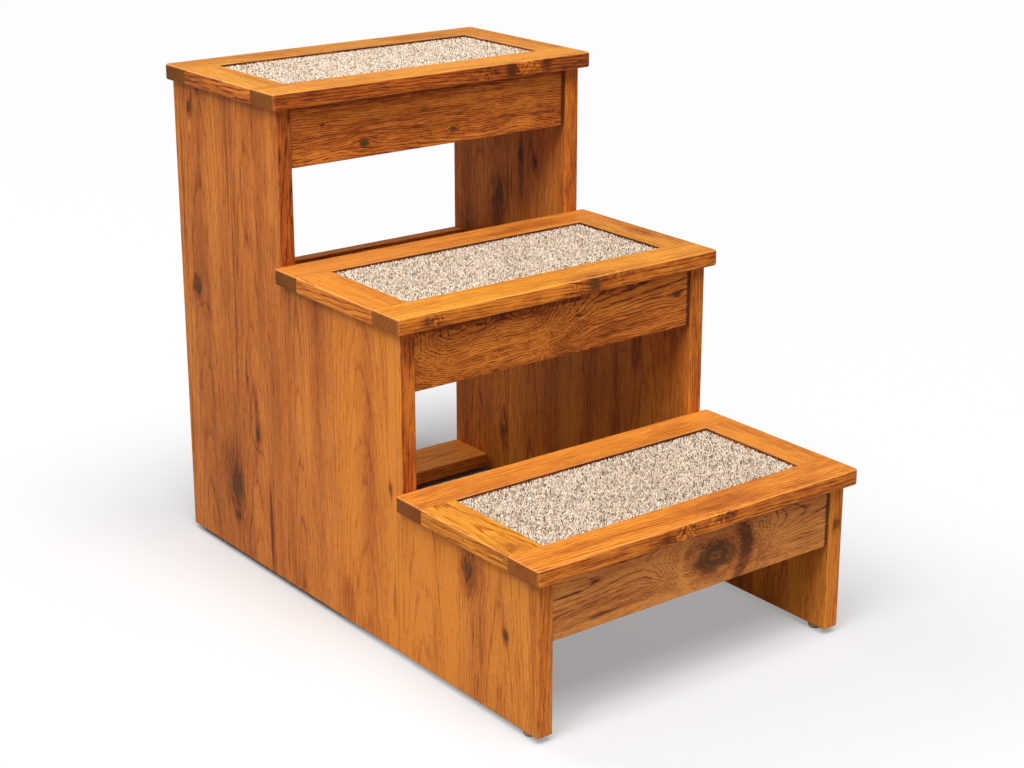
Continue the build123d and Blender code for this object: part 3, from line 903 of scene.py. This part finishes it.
# %% [markdown]
# The pile. A displaced plane looks like sand, and hair particles can't be exported, so the pile is real
# geometry: about twenty-one thousand tufts in each carpet. They stand on a jittered grid. Each leans its
# own way and curls over, because the yarn is twisted hard, and ends in a point. A tuft is very plain, three
# sides and three levels, 9 triangles, so that many fit: together they stay below 200,000 in a carpet.
# The whole pile is worked out with numpy arrays, one row for each tuft, which takes a moment.
# %% Tufts of the pile
yarn_colours = np.array([
    (0.97, 0.83, 0.69), (0.92, 0.74, 0.56), (0.68, 0.47, 0.30), (0.36, 0.215, 0.115), (0.50, 0.41, 0.33),
    (0.10, 0.062, 0.034),
])
yarn_shares = np.array([0.39, 0.22, 0.14, 0.12, 0.06, 0.07])
tint_range = (0.66, 1.14)
tuft_pitch = 0.0016
tuft_radius = 0.00068
jitter = 0.45                    # of the pitch, to each side
height_range = (0.94, 1.2)       # of the depth of the pile
lean_range = (6, 38)             # degrees
curl_range = (-1.1, 1.1)         # radians that the heading turns on the way up
levels = np.array([0.0, 0.64, 1.0])


def tuft_roots(low, high, rng):
    """Places of the tufts on the backing, on a jittered grid."""
    inset = 0.8 * tuft_radius
    grid = []
    for start, end in zip(low, high):
        count = int((end - start - 2 * inset) / tuft_pitch)
        grid.append(np.linspace(start + inset, end - inset, count))
    x, y = np.meshgrid(*grid)
    roots = np.column_stack([x.ravel(), y.ravel()])
    return roots + rng.uniform(-jitter, jitter, roots.shape) * tuft_pitch


def tuft_lines(roots, floor_z, top_z, rng):
    """The middle line of each tuft: a point for each level."""
    count = len(roots)
    height = (top_z - floor_z) * rng.uniform(*height_range, count)
    lean = np.radians(rng.uniform(*lean_range, count))
    heading = rng.uniform(0, 2 * np.pi, count)
    run = height * np.tan(lean) * 0.8
    curl = heading[:, None] + rng.uniform(*curl_range, count)[:, None] * levels
    reach = run[:, None] * levels ** 1.6
    x = roots[:, 0, None] + reach * np.cos(curl)
    y = roots[:, 1, None] + reach * np.sin(curl)
    z = floor_z + height[:, None] * np.sin(levels * np.pi / 2) ** 0.9
    return np.stack([x, y, z], axis=2)


# %% [markdown]
# The skin of a tuft. Each line gets a ring of corners round every level but the last, where the corners
# meet in the point. A ring needs two directions square to the line: the cross product of the line with any
# slanted direction gives the first, and a second cross product gives the other.
# %% Corners and triangles of the tufts
tuft_sides = 3
level_widths = np.array([0.8, 1.0, 0.0])
thickness_range = (0.8, 1.15)
slanted = np.array([0.31, 0.74, 0.60])


def tuft_corners(lines, rng):
    """The corners of each tuft: a ring for each level, and one point at the tip."""
    count = len(lines)
    ways = np.gradient(lines, axis=1)
    ways /= np.linalg.norm(ways, axis=2, keepdims=True)
    side = np.cross(ways, slanted)
    side /= np.linalg.norm(side, axis=2, keepdims=True)
    other = np.cross(ways, side)
    turn = rng.uniform(0, 2 * np.pi, count)[:, None, None]
    radius = tuft_radius * rng.uniform(*thickness_range, count)[:, None, None]
    rings = []
    for corner in range(tuft_sides):
        angle = turn + 2 * np.pi * corner / tuft_sides
        rings.append(lines + radius * level_widths[:, None] * (side * np.cos(angle) + other * np.sin(angle)))
    body_points = np.stack(rings, axis=2)[:, :-1].reshape(count, -1, 3)
    return np.concatenate([body_points, lines[:, -1:, :]], axis=1)


def tuft_triangles(count, per_tuft):
    """The triangles of all the tufts, as numbers of their corners."""
    tip = per_tuft - 1
    last = tip - tuft_sides
    faces = []
    for start in range(0, last, tuft_sides):
        for corner in range(tuft_sides):
            a = start + corner
            b = start + (corner + 1) % tuft_sides
            faces += [(a, b, b + tuft_sides), (a, b + tuft_sides, a + tuft_sides)]
    for corner in range(tuft_sides):
        faces.append((last + corner, last + (corner + 1) % tuft_sides, tip))
    return (np.array(faces)[None] + np.arange(count)[:, None, None] * per_tuft).reshape(-1, 3)


# %% [markdown]
# Making the pieces. A new object needs a mesh, a material and a place in the scene's collection. The pile
# also gets two attributes that its material reads: the colour of the yarn, and how high a corner rises.
# %% Pile of one carpet
below_backing = 0.0005
proud = 0.0018


def new_piece(name, points, faces, material):
    """A new mesh object with one material."""
    mesh = bpy.data.meshes.new(name)
    mesh.from_pydata(points, [], faces)
    mesh.materials.append(material)
    made = bpy.data.objects.new(name, mesh)
    bpy.context.scene.collection.objects.link(made)
    return made


def pile(name, low, high, floor_z, top_z, seed):
    """The pile of one carpet as a mesh object, with its yarn colours."""
    rng = np.random.default_rng(seed)
    roots = tuft_roots(low, high, rng)
    corners = tuft_corners(tuft_lines(roots, floor_z, top_z, rng), rng)
    count, per_tuft = corners.shape[:2]
    points = np.clip(corners.reshape(-1, 3), (*low, floor_z - below_backing), (*high, top_z + proud))
    faces = tuft_triangles(count, per_tuft)
    made = new_piece(name, points.tolist(), faces.tolist(), yarn)
    made.data.shade_smooth()
    picks = rng.choice(len(yarn_colours), count, p=yarn_shares)
    colours = np.clip(yarn_colours[picks] * rng.uniform(*tint_range, (count, 1)), 0, 1)
    colours = np.repeat(np.column_stack([colours, np.ones(count)]), per_tuft, axis=0)
    made.data.color_attributes.new("yarn", "FLOAT_COLOR", "POINT").data.foreach_set("color", colours.ravel())
    rise = (points[:, 2] - floor_z) / (top_z - floor_z)
    made.data.attributes.new("rise", "FLOAT", "POINT").data.foreach_set("value", rise)
    print(name, "tufts:", count, "triangles:", len(faces))
    return made


# %% [markdown]
# The carpet inserts. The backing is one thin slab that fills the opening and lies on the plywood, and the
# pile grows out of it. The slab is the cut piece of carpet, and the pile goes with it. Together they stand
# for the plain carpet block of the frame.
# %% Backing and pile of each carpet
backing_thickness = 0.0014
edge_clearance = 0.0005


def slab(name, low, high, material):
    """A thin closed slab with a soft edge, from one corner to the other."""
    corners = [(x, y, z) for x in (low[0], high[0]) for y in (low[1], high[1]) for z in (low[2], high[2])]
    faces = [(0, 1, 3, 2), (4, 6, 7, 5), (0, 4, 5, 1), (2, 3, 7, 6), (0, 2, 6, 4), (1, 5, 7, 3)]
    made = new_piece(name, corners, faces, material)
    soft_edge = made.modifiers.new("soft_edge", "BEVEL")
    soft_edge.width = 0.0004
    soft_edge.segments = 2
    return made


for number, step in enumerate(step_names):
    block_low, block_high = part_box(f"{step}_tread_carpet")
    backing_top = block_low.z + backing_thickness
    backing_high = (block_high.x, block_high.y, backing_top)
    backing = slab(f"{step}_carpet_backing", block_low, backing_high, backing_weave)
    inner_low = (block_low.x + edge_clearance, block_low.y + edge_clearance)
    inner_high = (block_high.x - edge_clearance, block_high.y - edge_clearance)
    tufts = pile(f"{step}_carpet_pile", inner_low, inner_high, backing_top, block_high.z, 500 + number)
    for piece in (backing, tufts):
        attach(piece, body)
    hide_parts(f"{step}_tread_carpet")

# %% [markdown]
# The studio floor. A pale floor keeps the shadow of the stairs. A white background must not light the
# stairs more, so the floor turns white with distance only for rays that come straight from the camera.
# %% Floor
floor_half = 6.0
white = (1.0, 1.0, 1.0, 1.0)
paper_dark = (0.64, 0.64, 0.64, 1.0)
paper_pale = (0.67, 0.67, 0.67, 1.0)
paper_beside = (0.45, 0.45, 0.45, 1.0)         # as the stairs see it
floor_material, sketch = blank_material("studio_floor")
from_camera = sketch.values(sketch.node("ShaderNodeLightPath"))["Is Camera Ray"]
where = sketch.place()
paper = sketch.mix(sketch.noise(where * 3.0), paper_dark, paper_pale)
paper = sketch.mix(from_camera, paper_beside, paper)
across, forward, height = sketch.parts(where)
beside = sketch.math("MAXIMUM", abs(across) - whole_high.x, 0.0)
beyond = sketch.math("MAXIMUM", abs(forward) - whole_high.y, 0.0)
away = sketch.length(sketch.joined(beside, beyond, 0.0))
share = from_camera * away.step(0.0, 0.45, forward.step(-0.10, 0.08, 0.30, 0.0), 0.97)
matt = sketch.value("ShaderNodeBsdfDiffuse", {"Color": paper})
glow = sketch.value("ShaderNodeEmission", {"Color": white, "Strength": 1.0})
blend = sketch.value("ShaderNodeMixShader", {0: share, 1: matt, 2: glow})
sketch.node("ShaderNodeOutputMaterial", {"Surface": blend})
floor_corners = [(x * floor_half, y * floor_half, 0) for x, y in ((-1, -1), (1, -1), (1, 1), (-1, 1))]
floor = new_piece("studio_floor", floor_corners, [(0, 1, 2, 3)], floor_material)
print("Floor:", 2 * floor_half, "m wide")

# %% [markdown]
# The world. It is white for the camera and through glass, a little for shiny things, and otherwise a soft
# grey that only lifts the shadows.
# %% World
world = bpy.data.worlds.new("studio")
bpy.context.scene.world = world
world.use_nodes = True
world.node_tree.nodes.clear()
sketch = Sketch(world.node_tree)
seen = sketch.values(sketch.node("ShaderNodeLightPath"))
soft = sketch.value("ShaderNodeBackground", {"Color": (1.0, 0.98, 0.96, 1.0), "Strength": 0.18})
bright = sketch.value("ShaderNodeBackground", {"Color": white, "Strength": 1.0})
straight = sketch.math("MAXIMUM", seen["Is Camera Ray"], seen["Is Transmission Ray"])
share = sketch.math("MAXIMUM", straight, seen["Is Glossy Ray"] * 0.15)
sketch.node("ShaderNodeOutputWorld", {
    "Surface": sketch.value("ShaderNodeMixShader", {0: share, 1: soft, 2: bright})})
print("World:", world.name, "with", len(world.node_tree.nodes), "nodes")

# %% [markdown]
# Lamps. The photograph is lit from above and from the left: the tread tops are the brightest, the left
# panel comes next, the front edges are darker and the inside falls into shade. Large square lamps keep
# every shadow soft.
# %% Lamps
def lamp(name, place, target, size, power):
    """A square lamp that faces its target."""
    data = bpy.data.lights.new(name, "AREA")
    data.shape = "SQUARE"
    data.size = size
    data.energy = power
    made = bpy.data.objects.new(name, data)
    made.location = place
    made.rotation_euler = (Vector(target) - Vector(place)).to_track_quat("-Z", "Y").to_euler()
    bpy.context.scene.collection.objects.link(made)
    print("Lamp:", name, "of", power, "W")


middle = (0.0, 0.0, 0.3)
lamp("overhead", (-1.25, -3.25, 7.5), (-1.25, -3.25, 0.0), 5.8, 673.0)
lamp("left_window", (-2.4, -0.9, 3.0), middle, 1.4, 70.0)
lamp("front_fill", (0.6, -3.2, 0.8), middle, 1.6, 2.5)
lamp("backdrop", (-1.0, 2.8, 2.0), middle, 2.0, 42.0)

# %% [markdown]
# The camera. It stands to the left of the front, a little above the top tread, with a long lens. Its place
# was worked out from the corners of the stairs in the photograph. The camera's axes are written as
# directions and put in a matrix, which is easier to check than three angles.
# %% Camera
azimuth = math.radians(-37.2309)
elevation = math.radians(17.7096)
roll = math.radians(0.0768)
aim = Vector((0.0, -0.23425, 0.5))
eye_offset = Vector((-0.1387, -0.1192, 2.1451))        # from the aim: to the right, up and backward
picture_width = 1024
picture_height = 768
focal_pixels = 2016.42
centre_x = 502.0
centre_y = 333.0

backward = Vector((
    math.sin(azimuth) * math.cos(elevation),
    -math.cos(azimuth) * math.cos(elevation),
    math.sin(elevation),
))
level_right = Vector(upward).cross(backward).normalized()
level_up = backward.cross(level_right)
eye = aim + level_right * eye_offset.x + level_up * eye_offset.y + backward * eye_offset.z
right = level_right * math.cos(roll) - level_up * math.sin(roll)
up = level_right * math.sin(roll) + level_up * math.cos(roll)

camera_data = bpy.data.cameras.new("photo_camera")
camera = bpy.data.objects.new("photo_camera", camera_data)
axes = Matrix((right, up, backward)).transposed().to_4x4()
camera.matrix_world = Matrix.Translation(eye) @ axes
camera_data.sensor_width = 36.0
camera_data.lens = focal_pixels * camera_data.sensor_width / picture_width
camera_data.shift_x = (picture_width / 2 - centre_x) / picture_width
camera_data.shift_y = (centre_y - picture_height / 2) / picture_width
camera_data.clip_end = 50.0
bpy.context.scene.collection.objects.link(camera)
bpy.context.scene.camera = camera
bpy.context.scene.view_settings.view_transform = "Standard"
print("Camera at", [round(value, 3) for value in eye], "with a lens of", round(camera_data.lens, 1), "mm")

# %% [markdown]
# The end. The last step brings the scene up to date.
# %% Bring the scene up to date
bpy.context.view_layer.update()
